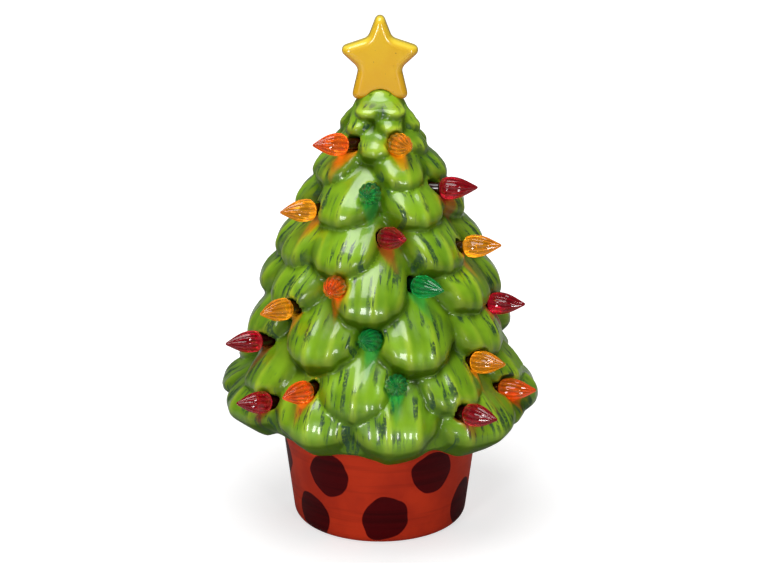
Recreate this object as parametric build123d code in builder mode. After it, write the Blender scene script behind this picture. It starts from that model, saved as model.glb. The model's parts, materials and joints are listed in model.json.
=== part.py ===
from build123d import *

# A ceramic Christmas tree, lit from inside, that stands in a flowerpot foot.
# The tree and the pot are separate hollow castings: the tree's collar drops into the pot's mouth.
# Translucent plastic flame bulbs push into holes in the tree, and a small lamp unit, held in the
# pot's floor by a rubber gasket, lights them. Z is up, the origin is the middle of the pot's foot,
# the front faces -Y, and a bearing is the angle from the front towards +X, in degrees.
# All sizes are in millimetres.

import math
import os
from collections import namedtuple

# Pot: the tapered flowerpot, its foot ring and the floor that carries the lamp unit
POT_HEIGHT = 46.0
POT_RIM_RADIUS = 44.0
POT_RIM_ROUNDING = 1.2
POT_FOOT_RADIUS = 38.2
POT_FOOT_ROUNDING = 5.5
POT_WALL = 4.5
POT_FLOOR = 5.0
POT_FLOOR_ROUNDING = 4.0
FOOT_RING_WIDTH = 3.7
FOOT_RECESS_DEPTH = 4.5

# Tree: a hollow core of two cones with a flared skirt and a domed tip; heights are above the pot's rim
CORE_FOOT_RADIUS = 59.0
CORE_WAIST_RADIUS = 40.0
CORE_WAIST_HEIGHT = 72.0
CORE_NECK_RADIUS = 8.0
CORE_NECK_HEIGHT = 143.0
SKIRT_RADIUS = 62.0
SKIRT_HEIGHT = 30.0
HEM_RISE = 7.0
HEM_ROUNDING = 3.5
TREE_WALL = 5.0
TREE_TIP_WALL = 12.0
COLLAR_DEPTH = 6.0
COLLAR_WALL = 3.0
COLLAR_CLEARANCE = 0.6
RIM_CLEARANCE = 1.0

# Boughs: each is a long pillow with a crowned face, a rounded edge and round ends, that hangs down
# the core, sunk into it at the top and standing proud of it at the tip. Its ratios are to its half
# width, and the height of its lower end's middle is a share of the core's height to the neck.
BOUGH_LENGTH_RATIO = 1.3
BOUGH_CROWN_RATIO = 2.0
BOUGH_EDGE_RATIO = 0.28
BOUGH_DEPTH_RATIO = 0.9
BOUGH_TOP_SINK = 4.0
BoughRow = namedtuple("BoughRow", "height_share proud half_width bearings")
BOUGH_ROWS = (
    BoughRow(0.148, 9.0, 19.5, (-97, -62, 41)),
    BoughRow(0.178, 8.8, 19.5, (-28, 6)),
    BoughRow(0.248, 8.2, 15.5, (-60, -11, 33, 76)),
    BoughRow(0.394, 8.0, 16.5, (-78, -31, 18, 58)),
    BoughRow(0.524, 7.2, 15.5, (-95, -55, -6, 55)),
    BoughRow(0.64, 7.4, 14.5, (-62, -26, 42, 88)),
    BoughRow(0.763, 7.0, 13.5, (-34, 33, 82)),
    BoughRow(0.849, 6.0, 10.5, (-62, 25, 80)),
    BoughRow(0.915, 4.4, 7.6, (-60, -7, 62)),
    BoughRow(0.964, 4.2, 5.6, (-46, 20, 75)),
    BoughRow(1.003, 4.2, 4.4, (-21, 23)),
)

# Flame bulbs: a round peg in the hole, a short neck and a fluted body that comes to a point
BULB_RADIUS = 4.9
BULB_LENGTH = 17.0
BULB_TIP_RADIUS = 0.6
BULB_FLUTES = 12
BULB_NECK = 1.6
BULB_PEG_LENGTH = 8.0
BULB_HOLE_RADIUS = 3.5
BULB_HOLE_CLEARANCE = 0.3
BULB_BODY_CLEARANCE = 0.5
BULB_TRAVEL = 14.0
BULB_BACK_SPREAD = 0.62
BULB_BACK_LIFT = 0.08
BulbRing = namedtuple("BulbRing", "share_of_length share_of_radius")
BULB_RINGS = (
    BulbRing(0.0, 0.74),
    BulbRing(0.1, 0.93),
    BulbRing(0.26, 1.0),
    BulbRing(0.48, 0.88),
    BulbRing(0.75, 0.5),
)
BulbPlace = namedtuple("BulbPlace", "colour bearing height_share heading rise")
BULB_PLACES = (
    BulbPlace("orange", -39, 0.895, -59, 5),
    BulbPlace("amber", 23, 0.902, 25, 4),
    BulbPlace("green", -8, 0.769, -7, 8),
    BulbPlace("red", 54, 0.762, 82, 3),
    BulbPlace("amber", -52, 0.706, -60, 3),
    BulbPlace("red", 1, 0.643, 37, 10),
    BulbPlace("amber", 52, 0.594, 75, 6),
    BulbPlace("orange", -26, 0.517, -10, 3),
    BulbPlace("green", 21, 0.51, 47, 3),
    BulbPlace("amber", -47, 0.434, -45, 3),
    BulbPlace("red", 71, 0.406, 73, 3),
    BulbPlace("red", -66, 0.301, -64, 3),
    BulbPlace("green", -3, 0.357, -19, 17),
    BulbPlace("amber", 47, 0.266, 55, 6),
    BulbPlace("green", 8, 0.231, -1, 17),
    BulbPlace("orange", -30, 0.21, -40, 3),
    BulbPlace("red", -49, 0.14, -57, 9),
    BulbPlace("red", 30, 0.147, 51, 3),
    BulbPlace("orange", 62, 0.154, 76, 3),
)
SIDE_TURNS = (0, 180)

# Star: the corners of its outline on one side of the middle, heights above the core's neck
STAR_TOP = 42.0
STAR_SHOULDER = (5.2, 28.6)
STAR_ARM = (18.3, 24.2)
STAR_WAIST = (9.2, 15.8)
STAR_LEG = (12.4, 2.4)
STAR_POINT_ROUNDING = 2.2
STAR_CORNER_ROUNDING = 3.5
STAR_THICKNESS = 9.6
STAR_EDGE_ROUNDING = 3.0
STAR_SEAT_CLEARANCE = 0.25
STAR_SEAT_ROWS = 3

# Lamp unit: a plastic puck in a rubber gasket, with one LED, a coin cell and a slide switch
CELL_RADIUS = 10.0
CELL_HEIGHT = 3.2
CELL_CLEARANCE = 0.3
DOOR_THICKNESS = 2.0
DOOR_CLEARANCE = 0.2
DOOR_RIM_WALL = 1.0
DOOR_RIM_HEIGHT = 1.6
DOOR_LUG_REACH = 1.7
DOOR_LUG_THICKNESS = 1.2
DOOR_LUG_ANGLE = 30.0
DOOR_LUG_CLEARANCE = 0.15
DOOR_NOTCH_SPARE_ANGLE = 6.0
DOOR_TURN = 50.0
COIN_SLOT_LENGTH = 12.0
COIN_SLOT_WIDTH = 1.8
COIN_SLOT_DEPTH = 1.0
BOSS_RADIUS = 2.4
BOSS_COUNT = 3
BOSS_CLEARANCE = 1.8
BOSS_WALL_GAP = 0.8
BOARD_THICKNESS = 1.2
BOARD_GAP = 4.6
BOARD_CLEARANCE = 1.2
BOARD_POST_RADIUS = 1.8
BOARD_POST_CIRCLE = 10.0
BOARD_POST_LENGTH = 5.8
LAMP_WALL = 1.8
LAMP_CLEARANCE = 0.2
LAMP_FLANGE_THICKNESS = 1.6
LAMP_FLANGE_MARGIN = 2.6
GASKET_WALL = 1.4
GASKET_LIP_THICKNESS = 1.5
GASKET_LIP_MARGIN = 2.0
LED_RADIUS = 2.5
LED_FLANGE_SIZE = 0.4
LED_FLANGE_HEIGHT = 1.0
LED_HEIGHT = 8.6
LED_STANDOFF = 1.0
LED_LEG_WIDTH = 0.5
LED_LEG_PITCH = 2.54
LED_LEG_END = 1.0
LEAF_WIDTH = 3.0
LEAF_THICKNESS = 0.4
LEAF_PAD = 3.0
LEAF_CLEARANCE = 0.2
DIFFUSER_RADIUS = 8.0
DIFFUSER_WALL = 1.2
DIFFUSER_SPIGOT_RADIUS = 6.0
SWITCH_LENGTH = 8.6
SWITCH_WIDTH = 4.2
SWITCH_HEIGHT = 3.4
SWITCH_BEARING = 90.0
SWITCH_MARGIN = 1.5
KNOB_LENGTH = 3.0
KNOB_WIDTH = 2.2
KNOB_PROUD = 0.5
KNOB_TRAVEL = 3.0
KNOB_SINK = 0.8
KNOB_CLEARANCE = 0.3
SCREW_RADIUS = 1.0
SCREW_HEAD_RADIUS = 1.9
SCREW_HEAD_HEIGHT = 1.1
SCREW_LENGTH = 8.0
SCREW_CLEARANCE = 0.1
BOARD_SCREW_LENGTH = 5.0


def bearing_direction(bearing, rise=0.0):
    """Unit vector that points outwards at a bearing from the front, raised above the level."""
    turn, lift = math.radians(bearing), math.radians(rise)
    return Vector(math.sin(turn) * math.cos(lift), -math.cos(turn) * math.cos(lift), math.sin(lift))


def save(builder, name):
    """Labels a finished piece and writes it as its own node."""
    builder.part.label = name
    export_step(builder.part, f"parts/{name}.step")


os.makedirs("parts", exist_ok=True)

# Radii of the lamp unit, from the coin cell outwards to the hole in the pot's floor
door_radius = CELL_RADIUS + CELL_CLEARANCE + DOOR_RIM_WALL
lug_radius = door_radius + DOOR_LUG_REACH
boss_circle = lug_radius + BOSS_CLEARANCE + BOSS_RADIUS
housing_inner_radius = boss_circle + BOSS_RADIUS + BOSS_WALL_GAP
housing_radius = housing_inner_radius + LAMP_WALL
gasket_inner_radius = housing_radius + LAMP_CLEARANCE
lamp_hole_radius = gasket_inner_radius + GASKET_WALL + LAMP_CLEARANCE
recess_radius = POT_FOOT_RADIUS - POT_FOOT_ROUNDING - FOOT_RING_WIDTH
flange_radius = recess_radius - LAMP_FLANGE_MARGIN
lip_radius = recess_radius - GASKET_LIP_MARGIN

# Heights of the lamp unit, from the recess in the pot's foot
floor_top = FOOT_RECESS_DEPTH + POT_FLOOR
flange_top = FOOT_RECESS_DEPTH - GASKET_LIP_THICKNESS
lamp_bottom = flange_top - LAMP_FLANGE_THICKNESS
plate_top = lamp_bottom + DOOR_THICKNESS
cell_top = plate_top + CELL_HEIGHT
board_bottom = cell_top + BOARD_GAP
board_top = board_bottom + BOARD_THICKNESS
housing_ceiling = board_top + BOARD_POST_LENGTH
lamp_top = housing_ceiling + LAMP_WALL

# Pot
pot_inner_rim = POT_RIM_RADIUS - POT_WALL
pot_taper = (POT_RIM_RADIUS - POT_FOOT_RADIUS) / POT_HEIGHT
pot_floor_corner = (POT_FOOT_RADIUS + pot_taper * floor_top - POT_WALL, floor_top)
pot_foot_corner = (POT_FOOT_RADIUS, 0)
with BuildPart() as pot:
    with BuildSketch(Plane.XZ):
        with BuildLine():
            Polyline(
                (lamp_hole_radius, FOOT_RECESS_DEPTH),
                (recess_radius, FOOT_RECESS_DEPTH),
                (recess_radius, 0),
                pot_foot_corner,
                (POT_RIM_RADIUS, POT_HEIGHT),
                (pot_inner_rim, POT_HEIGHT),
                pot_floor_corner,
                (lamp_hole_radius, floor_top),
                close=True,
            )
        make_face()
        fillet(vertices().sort_by_distance(pot_foot_corner)[0], POT_FOOT_ROUNDING)
        fillet(vertices().sort_by_distance(pot_floor_corner)[0], POT_FLOOR_ROUNDING)
        fillet(vertices().group_by(Axis.Y)[-1], POT_RIM_ROUNDING)
    revolve(axis=Axis.Z)
save(pot, "pot")


# Tree casting
def core_radius(height):
    """Radius of the plain core at a height above the pot's rim."""
    if height < CORE_WAIST_HEIGHT:
        share = height / CORE_WAIST_HEIGHT
        return CORE_FOOT_RADIUS + share * (CORE_WAIST_RADIUS - CORE_FOOT_RADIUS)
    share = (height - CORE_WAIST_HEIGHT) / (CORE_NECK_HEIGHT - CORE_WAIST_HEIGHT)
    return CORE_WAIST_RADIUS + share * (CORE_NECK_RADIUS - CORE_WAIST_RADIUS)


def make_bough(row, skin=0.0):
    """One bough of a row, grown by a skin: Z runs up from its lower end's middle, its face is to -Y."""
    half_width = row.half_width + skin
    crown_radius = BOUGH_CROWN_RATIO * row.half_width + skin
    edge = crown_radius - math.sqrt(crown_radius**2 - half_width**2) - skin
    back = BOUGH_DEPTH_RATIO * row.half_width
    length = BOUGH_LENGTH_RATIO * row.half_width
    with BuildPart() as bough:
        with BuildSketch(Plane.XY) as section:
            with BuildLine():
                ThreePointArc((-half_width, edge), (0, -skin), (half_width, edge))
                Polyline((half_width, edge), (half_width, back), (-half_width, back), (-half_width, edge))
            make_face()
            corners = [vertices().sort_by_distance((side, edge))[0] for side in (-half_width, half_width)]
            fillet(corners, BOUGH_EDGE_RATIO * row.half_width)
        extrude(amount=length)
        for height in (0, length):
            with BuildSketch(Plane.XY.offset(height)):
                add(section.sketch_local)
                split(bisect_by=Plane.YZ)
            revolve(axis=Axis((0, 0, height), (0, 1, 0)))
    return bough.part


def bough_place(row, bearing):
    """Where a bough hangs: its face is just inside the core's at the top, and proud of it at the tip."""
    tip_height = row.height_share * CORE_NECK_HEIGHT
    top_height = tip_height + BOUGH_LENGTH_RATIO * row.half_width
    out = bearing_direction(bearing)
    tip = out * (core_radius(tip_height) + row.proud) + Vector(0, 0, POT_HEIGHT + tip_height)
    top = out * (core_radius(top_height) - BOUGH_TOP_SINK) + Vector(0, 0, POT_HEIGHT + top_height)
    return Plane(origin=tip, x_dir=(-out.Y, out.X, 0), z_dir=top - tip).location


def hang_boughs(rows, skin=0.0):
    """The boughs of some rows, on the front of the tree and repeated on its back."""
    hung = []
    for row in rows:
        bough = make_bough(row, skin)
        for bearing in row.bearings:
            hung += [bough_place(row, bearing + turn) * bough for turn in SIDE_TURNS]
    return hung


collar_radius = pot_inner_rim - pot_taper * COLLAR_DEPTH - COLLAR_CLEARANCE
mouth_radius = collar_radius - COLLAR_WALL
cavity_foot_height = HEM_RISE + TREE_WALL
cavity_top_height = CORE_NECK_HEIGHT - TREE_TIP_WALL
with BuildPart() as casting:
    with BuildSketch(Plane.XZ):
        with BuildLine():
            hem = (SKIRT_RADIUS, POT_HEIGHT + HEM_RISE)
            skirt_top = (core_radius(SKIRT_HEIGHT), POT_HEIGHT + SKIRT_HEIGHT)
            neck = (CORE_NECK_RADIUS, POT_HEIGHT + CORE_NECK_HEIGHT)
            tip = (0, POT_HEIGHT + CORE_NECK_HEIGHT + CORE_NECK_RADIUS)
            waist = (CORE_WAIST_RADIUS, POT_HEIGHT + CORE_WAIST_HEIGHT)
            seat = (POT_RIM_RADIUS + RIM_CLEARANCE, POT_HEIGHT)
            Polyline((0, POT_HEIGHT), seat, hem, skirt_top, waist, neck)
            RadiusArc(neck, tip, -CORE_NECK_RADIUS)
            Line(tip, (0, POT_HEIGHT))
        make_face()
        fillet(vertices().sort_by_distance(hem)[0], HEM_ROUNDING)
    revolve(axis=Axis.Z)
    for bough in hang_boughs(BOUGH_ROWS):
        add(bough)
    with BuildSketch(Plane.XZ):
        with BuildLine():
            Polyline(
                (0, POT_HEIGHT),
                (mouth_radius, POT_HEIGHT),
                (mouth_radius, POT_HEIGHT + TREE_WALL),
                (core_radius(cavity_foot_height) - TREE_WALL, POT_HEIGHT + cavity_foot_height),
                (CORE_WAIST_RADIUS - TREE_WALL, POT_HEIGHT + CORE_WAIST_HEIGHT),
                (core_radius(cavity_top_height) - TREE_WALL, POT_HEIGHT + cavity_top_height),
                (0, POT_HEIGHT + cavity_top_height),
                close=True,
            )
        make_face()
    revolve(axis=Axis.Z, mode=Mode.SUBTRACT)
    with BuildSketch(Plane.XY.offset(POT_HEIGHT)):
        Circle(POT_RIM_RADIUS + RIM_CLEARANCE)
    extrude(amount=-POT_HEIGHT, mode=Mode.SUBTRACT)
    with BuildSketch(Plane.XY.offset(POT_HEIGHT)):
        Circle(collar_radius)
        Circle(mouth_radius, mode=Mode.SUBTRACT)
    extrude(amount=-COLLAR_DEPTH)


def bulb_seat(bearing, height_share, heading, rise):
    """Where a bulb's line leaves the casting: the middle of its hole's mouth, with Z along the bulb."""
    direction = bearing_direction(heading, rise)
    height = height_share * CORE_NECK_HEIGHT
    entry = bearing_direction(bearing) * core_radius(height) + Vector(0, 0, POT_HEIGHT + height)
    crossings = casting.part.find_intersection_points(Axis(entry, direction))
    mouth = max((point for point, _ in crossings), key=lambda point: point.dot(direction))
    return Plane(origin=mouth, z_dir=direction).location


hole_depth = 2 * TREE_WALL + max(row.half_width for row in BOUGH_ROWS)
clear_way = BULB_LENGTH + BULB_TRAVEL
with BuildPart() as bulb_way:
    with BuildSketch(Plane.XY.offset(-hole_depth)):
        Circle(BULB_HOLE_RADIUS)
    extrude(amount=hole_depth + BULB_NECK)
    with BuildSketch(Plane.XY.offset(BULB_NECK - BULB_BODY_CLEARANCE)):
        Circle(BULB_RADIUS + BULB_BODY_CLEARANCE)
    extrude(amount=clear_way)

# On the back the bulbs stand straight out, closer to the middle than on the front and the low ones higher
bulb_seats = {}
for number, place in enumerate(BULB_PLACES, start=1):
    front = (place.bearing, place.height_share, place.heading, place.rise)
    back_bearing = 180 + BULB_BACK_SPREAD * place.bearing
    back_share = place.height_share + BULB_BACK_LIFT * (1 - place.height_share) ** 2
    back = (back_bearing, back_share, back_bearing, place.rise)
    bulb_seats[f"bulb_front_{number:02d}_{place.colour}"] = bulb_seat(*front)
    bulb_seats[f"bulb_back_{number:02d}_{place.colour}"] = bulb_seat(*back)
bulb_ways = [seat * bulb_way.part for seat in bulb_seats.values()]
with BuildPart() as tree:
    add(casting.part)
    add(bulb_ways, mode=Mode.SUBTRACT)
save(tree, "tree")

# Flame bulbs: modelled once, then one node for each hole
bulb_body_length = BULB_LENGTH - BULB_NECK
with BuildPart() as bulb_shape:
    with BuildSketch(Plane.XY.offset(-BULB_PEG_LENGTH)):
        Circle(BULB_HOLE_RADIUS - BULB_HOLE_CLEARANCE)
    extrude(amount=BULB_PEG_LENGTH + BULB_NECK)
    for ring in BULB_RINGS:
        with BuildSketch(Plane.XY.offset(BULB_NECK + ring.share_of_length * bulb_body_length)):
            RegularPolygon(ring.share_of_radius * BULB_RADIUS, BULB_FLUTES)
    with BuildSketch(Plane.XY.offset(BULB_LENGTH)):
        RegularPolygon(BULB_TIP_RADIUS, BULB_FLUTES)
    loft(ruled=True)
for bulb_name, seat in bulb_seats.items():
    with BuildPart() as bulb:
        add(seat * bulb_shape.part)
    save(bulb, bulb_name)

# Star
star_points = ((0, STAR_TOP), STAR_ARM, STAR_LEG)
star_corners = (STAR_SHOULDER, STAR_WAIST)
neck_middle = (0, 0, POT_HEIGHT + CORE_NECK_HEIGHT)
star_plane = Plane(origin=neck_middle, x_dir=(1, 0, 0), z_dir=(0, -1, 0))
star_seat = hang_boughs(BOUGH_ROWS[-STAR_SEAT_ROWS:], STAR_SEAT_CLEARANCE)
with BuildPart() as star:
    with BuildSketch(star_plane):
        with BuildLine():
            Polyline((0, STAR_TOP), STAR_SHOULDER, STAR_ARM, STAR_WAIST, STAR_LEG, (0, STAR_LEG[1]))
            mirror(about=Plane.YZ)
        make_face()
        for corners, rounding in ((star_points, STAR_POINT_ROUNDING), (star_corners, STAR_CORNER_ROUNDING)):
            for across, height in corners:
                for side in {across, -across}:
                    fillet(vertices().sort_by_distance((side, height))[0], rounding)
    extrude(amount=STAR_THICKNESS / 2, both=True)
    fillet(edges().group_by(Axis.Y)[0] + edges().group_by(Axis.Y)[-1], STAR_EDGE_ROUNDING)
    with Locations(neck_middle):
        Sphere(CORE_NECK_RADIUS + STAR_SEAT_CLEARANCE, mode=Mode.SUBTRACT)
    add(star_seat, mode=Mode.SUBTRACT)
save(star, "star")

# Gasket: a grommet that grips the edge of the hole in the pot's floor
with BuildPart() as lamp_gasket:
    with BuildSketch(Plane.XY.offset(flange_top)):
        Circle(lip_radius)
    extrude(amount=GASKET_LIP_THICKNESS)
    with BuildSketch(Plane.XY.offset(FOOT_RECESS_DEPTH)):
        Circle(lamp_hole_radius - LAMP_CLEARANCE)
    extrude(amount=POT_FLOOR)
    with BuildSketch(Plane.XY.offset(floor_top)):
        Circle(lip_radius)
    extrude(amount=GASKET_LIP_THICKNESS)
    fillet(edges().group_by(Axis.Z)[-1], GASKET_LIP_THICKNESS / 2)
    with BuildSketch(Plane.XY.offset(flange_top)):
        Circle(gasket_inner_radius)
    extrude(amount=floor_top, mode=Mode.SUBTRACT)
save(lamp_gasket, "lamp_gasket")

# Lamp housing: a flanged cup, open below, with screw bosses and posts for the board
boss_bearings = [30 + step * 360 / BOSS_COUNT for step in range(BOSS_COUNT)]
boss_spots = [bearing_direction(bearing) * boss_circle for bearing in boss_bearings]
post_spots = [bearing_direction(bearing) * BOARD_POST_CIRCLE for bearing in (0, 180)]
with BuildPart() as lamp_housing:
    with BuildSketch(Plane.XY.offset(lamp_bottom)):
        Circle(housing_radius)
    extrude(amount=lamp_top - lamp_bottom)
    fillet(edges().group_by(Axis.Z)[-1], LAMP_WALL / 2)
    with BuildSketch(Plane.XY.offset(lamp_bottom)):
        Circle(flange_radius)
    extrude(amount=LAMP_FLANGE_THICKNESS)
    with BuildSketch(Plane.XY.offset(lamp_bottom)):
        Circle(housing_inner_radius)
    extrude(amount=housing_ceiling - lamp_bottom, mode=Mode.SUBTRACT)
    with BuildSketch(Plane.XY.offset(plate_top)):
        with Locations(*boss_spots):
            Circle(BOSS_RADIUS)
    extrude(amount=housing_ceiling - plate_top)
    with BuildSketch(Plane.XY.offset(board_top)):
        with Locations(*post_spots):
            Circle(BOARD_POST_RADIUS)
    extrude(amount=BOARD_POST_LENGTH)
    with BuildSketch(Plane.XY.offset(plate_top)):
        with Locations(*boss_spots):
            Circle(SCREW_RADIUS + SCREW_CLEARANCE)
    extrude(amount=SCREW_LENGTH, mode=Mode.SUBTRACT)
    with BuildSketch(Plane.XY.offset(board_top)):
        with Locations(*post_spots):
            Circle(SCREW_RADIUS + SCREW_CLEARANCE)
    extrude(amount=BOARD_SCREW_LENGTH, mode=Mode.SUBTRACT)
    with BuildSketch(Plane.XY.offset(housing_ceiling)):
        Circle(DIFFUSER_SPIGOT_RADIUS + LAMP_CLEARANCE)
    extrude(amount=LAMP_WALL, mode=Mode.SUBTRACT)
save(lamp_housing, "lamp_housing")

# Diffuser: a translucent dome over the LED, with a spigot in the housing's top
spigot_bore = DIFFUSER_SPIGOT_RADIUS - DIFFUSER_WALL
with BuildPart() as diffuser:
    with BuildSketch(Plane.XZ):
        with BuildLine():
            inner = DIFFUSER_RADIUS - DIFFUSER_WALL
            shelf = lamp_top + DIFFUSER_WALL
            inner_edge = math.sqrt(inner**2 - DIFFUSER_WALL**2)
            Line((0, lamp_top + inner), (0, lamp_top + DIFFUSER_RADIUS))
            RadiusArc((0, lamp_top + DIFFUSER_RADIUS), (DIFFUSER_RADIUS, lamp_top), DIFFUSER_RADIUS)
            Polyline(
                (DIFFUSER_RADIUS, lamp_top),
                (DIFFUSER_SPIGOT_RADIUS, lamp_top),
                (DIFFUSER_SPIGOT_RADIUS, housing_ceiling),
                (spigot_bore, housing_ceiling),
                (spigot_bore, shelf),
                (inner_edge, shelf),
            )
            RadiusArc((inner_edge, shelf), (0, lamp_top + inner), -inner)
        make_face()
    revolve(axis=Axis.Z)
save(diffuser, "diffuser")

# Lamp plate: closes the housing from below; the door's lugs catch on its upper face
lug_bearings = (0, 180)
notch_angle = DOOR_LUG_ANGLE + DOOR_NOTCH_SPARE_ANGLE
switch_spot = bearing_direction(SWITCH_BEARING) * (lug_radius + SWITCH_MARGIN + SWITCH_WIDTH / 2)
switch_plane = Plane(origin=(0, 0, lamp_bottom) + switch_spot, x_dir=Axis.Y.direction, z_dir=(0, 0, 1))
knob_slot = (KNOB_LENGTH + KNOB_TRAVEL + 2 * KNOB_CLEARANCE, KNOB_WIDTH + 2 * KNOB_CLEARANCE)


def lug_sector(radius, angle, bearing):
    """Pie slice of a disc, centred on a bearing."""
    start = bearing - 90 - angle / 2
    with BuildSketch() as sector:
        with BuildLine():
            PolarLine((0, 0), radius, start)
            CenterArc((0, 0), radius, start, angle)
            PolarLine((0, 0), radius, start + angle)
        make_face()
    return sector.sketch


with BuildPart() as lamp_plate:
    with BuildSketch(Plane.XY.offset(lamp_bottom)):
        Circle(housing_inner_radius - LAMP_CLEARANCE)
        Circle(door_radius + DOOR_CLEARANCE, mode=Mode.SUBTRACT)
    extrude(amount=DOOR_THICKNESS)
    with BuildSketch(Plane.XY.offset(lamp_bottom)):
        for lug_bearing in lug_bearings:
            add(lug_sector(lug_radius + DOOR_CLEARANCE, notch_angle, lug_bearing + DOOR_TURN))
    extrude(amount=DOOR_THICKNESS, mode=Mode.SUBTRACT)
    with BuildSketch(Plane.XY.offset(lamp_bottom)):
        with Locations(*boss_spots):
            Circle(SCREW_RADIUS + SCREW_CLEARANCE)
    extrude(amount=DOOR_THICKNESS, mode=Mode.SUBTRACT)
    with BuildSketch(Plane.XY.offset(lamp_bottom)):
        with Locations(*boss_spots):
            Circle(SCREW_HEAD_RADIUS + SCREW_CLEARANCE)
    extrude(amount=SCREW_HEAD_HEIGHT, mode=Mode.SUBTRACT)
    with BuildSketch(switch_plane):
        Rectangle(*knob_slot)
    extrude(amount=DOOR_THICKNESS, mode=Mode.SUBTRACT)
save(lamp_plate, "lamp_plate")

# Battery door: a cup for the coin cell with two bayonet lugs and a slot for a coin
with BuildPart() as battery_door:
    with BuildSketch(Plane.XY.offset(lamp_bottom)):
        Circle(door_radius)
    extrude(amount=DOOR_THICKNESS + DOOR_RIM_HEIGHT)
    with BuildSketch(Plane.XY.offset(plate_top + DOOR_LUG_CLEARANCE)):
        for lug_bearing in lug_bearings:
            add(lug_sector(lug_radius, DOOR_LUG_ANGLE, lug_bearing))
    extrude(amount=DOOR_LUG_THICKNESS)
    with BuildSketch(Plane.XY.offset(plate_top)):
        Circle(CELL_RADIUS + CELL_CLEARANCE)
    extrude(amount=DOOR_RIM_HEIGHT, mode=Mode.SUBTRACT)
    with BuildSketch(Plane.XY.offset(lamp_bottom)):
        SlotOverall(COIN_SLOT_LENGTH, COIN_SLOT_WIDTH)
    extrude(amount=COIN_SLOT_DEPTH, mode=Mode.SUBTRACT)
save(battery_door, "battery_door")

# Coin cell
with BuildPart() as coin_cell:
    with BuildSketch(Plane.XY.offset(plate_top)):
        Circle(CELL_RADIUS)
    extrude(amount=CELL_HEIGHT)
    fillet(edges().group_by(Axis.Z)[0], CELL_CLEARANCE)
save(coin_cell, "coin_cell")

# Circuit board, LED and the two spring leaves that meet the cell
led_legs = [(-LED_LEG_PITCH / 2, 0), (LED_LEG_PITCH / 2, 0)]
with BuildPart() as circuit_board:
    with BuildSketch(Plane.XY.offset(board_bottom)):
        Circle(boss_circle - BOSS_RADIUS - BOARD_CLEARANCE)
        with Locations(*post_spots):
            Circle(SCREW_RADIUS + SCREW_CLEARANCE, mode=Mode.SUBTRACT)
        with Locations(*led_legs):
            Circle(LED_LEG_WIDTH, mode=Mode.SUBTRACT)
    extrude(amount=BOARD_THICKNESS)
save(circuit_board, "circuit_board")

led_bottom = board_top + LED_STANDOFF
with BuildPart() as led:
    with BuildSketch(Plane.XY.offset(led_bottom)):
        Circle(LED_RADIUS + LED_FLANGE_SIZE)
    extrude(amount=LED_FLANGE_HEIGHT)
    with BuildSketch(Plane.XY.offset(led_bottom)):
        Circle(LED_RADIUS)
    extrude(amount=LED_HEIGHT - LED_RADIUS)
    with Locations((0, 0, led_bottom + LED_HEIGHT - LED_RADIUS)):
        Sphere(LED_RADIUS)
    with BuildSketch(Plane.XY.offset(board_bottom - LED_LEG_END)):
        with Locations(*led_legs):
            Rectangle(LED_LEG_WIDTH, LED_LEG_WIDTH)
    extrude(amount=LED_LEG_END + BOARD_THICKNESS + LED_STANDOFF)
save(led, "led")

leaf_touch = cell_top + LEAF_CLEARANCE
with BuildPart() as contact_negative:
    with BuildSketch(Plane.XZ):
        with BuildLine():
            pad_end = 2 * LEAF_PAD
            Polyline(
                (pad_end, board_bottom),
                (pad_end, board_bottom - LEAF_THICKNESS),
                (LEAF_PAD, board_bottom - LEAF_THICKNESS),
                (LEAF_PAD / 2, leaf_touch),
                (-LEAF_PAD / 2, leaf_touch),
                (-LEAF_PAD / 2, leaf_touch + LEAF_THICKNESS),
                (LEAF_PAD / 2 - LEAF_THICKNESS, leaf_touch + LEAF_THICKNESS),
                (LEAF_PAD - LEAF_THICKNESS, board_bottom),
                close=True,
            )
        make_face()
    extrude(amount=LEAF_WIDTH / 2, both=True)
save(contact_negative, "contact_negative")

tab_face = CELL_RADIUS + LEAF_CLEARANCE
tab_end = plate_top + DOOR_RIM_HEIGHT + LEAF_CLEARANCE
with BuildPart() as contact_positive:
    with BuildSketch(Plane.XZ):
        with BuildLine():
            Polyline(
                (-tab_face, board_bottom),
                (-tab_face - LEAF_PAD, board_bottom),
                (-tab_face - LEAF_PAD, board_bottom - LEAF_THICKNESS),
                (-tab_face - LEAF_THICKNESS, board_bottom - LEAF_THICKNESS),
                (-tab_face - LEAF_THICKNESS, tab_end),
                (-tab_face, tab_end),
                close=True,
            )
        make_face()
    extrude(amount=LEAF_WIDTH / 2, both=True)
save(contact_positive, "contact_positive")

# Slide switch: its body stands on the plate and its knob reaches down through the plate's slot
with BuildPart() as switch_body:
    with BuildSketch(switch_plane.offset(DOOR_THICKNESS)):
        Rectangle(SWITCH_LENGTH, SWITCH_WIDTH)
    extrude(amount=SWITCH_HEIGHT)
    with BuildSketch(switch_plane.offset(DOOR_THICKNESS)):
        Rectangle(*knob_slot)
    extrude(amount=KNOB_SINK + KNOB_CLEARANCE, mode=Mode.SUBTRACT)
save(switch_body, "switch_body")

with BuildPart() as switch_knob:
    with BuildSketch(switch_plane.offset(-KNOB_PROUD)):
        with Locations((-KNOB_TRAVEL / 2, 0)):
            Rectangle(KNOB_LENGTH, KNOB_WIDTH)
    extrude(amount=KNOB_PROUD + DOOR_THICKNESS + KNOB_SINK)
    fillet(edges().group_by(Axis.Z)[0], KNOB_CLEARANCE)
save(switch_knob, "switch_knob")


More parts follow.
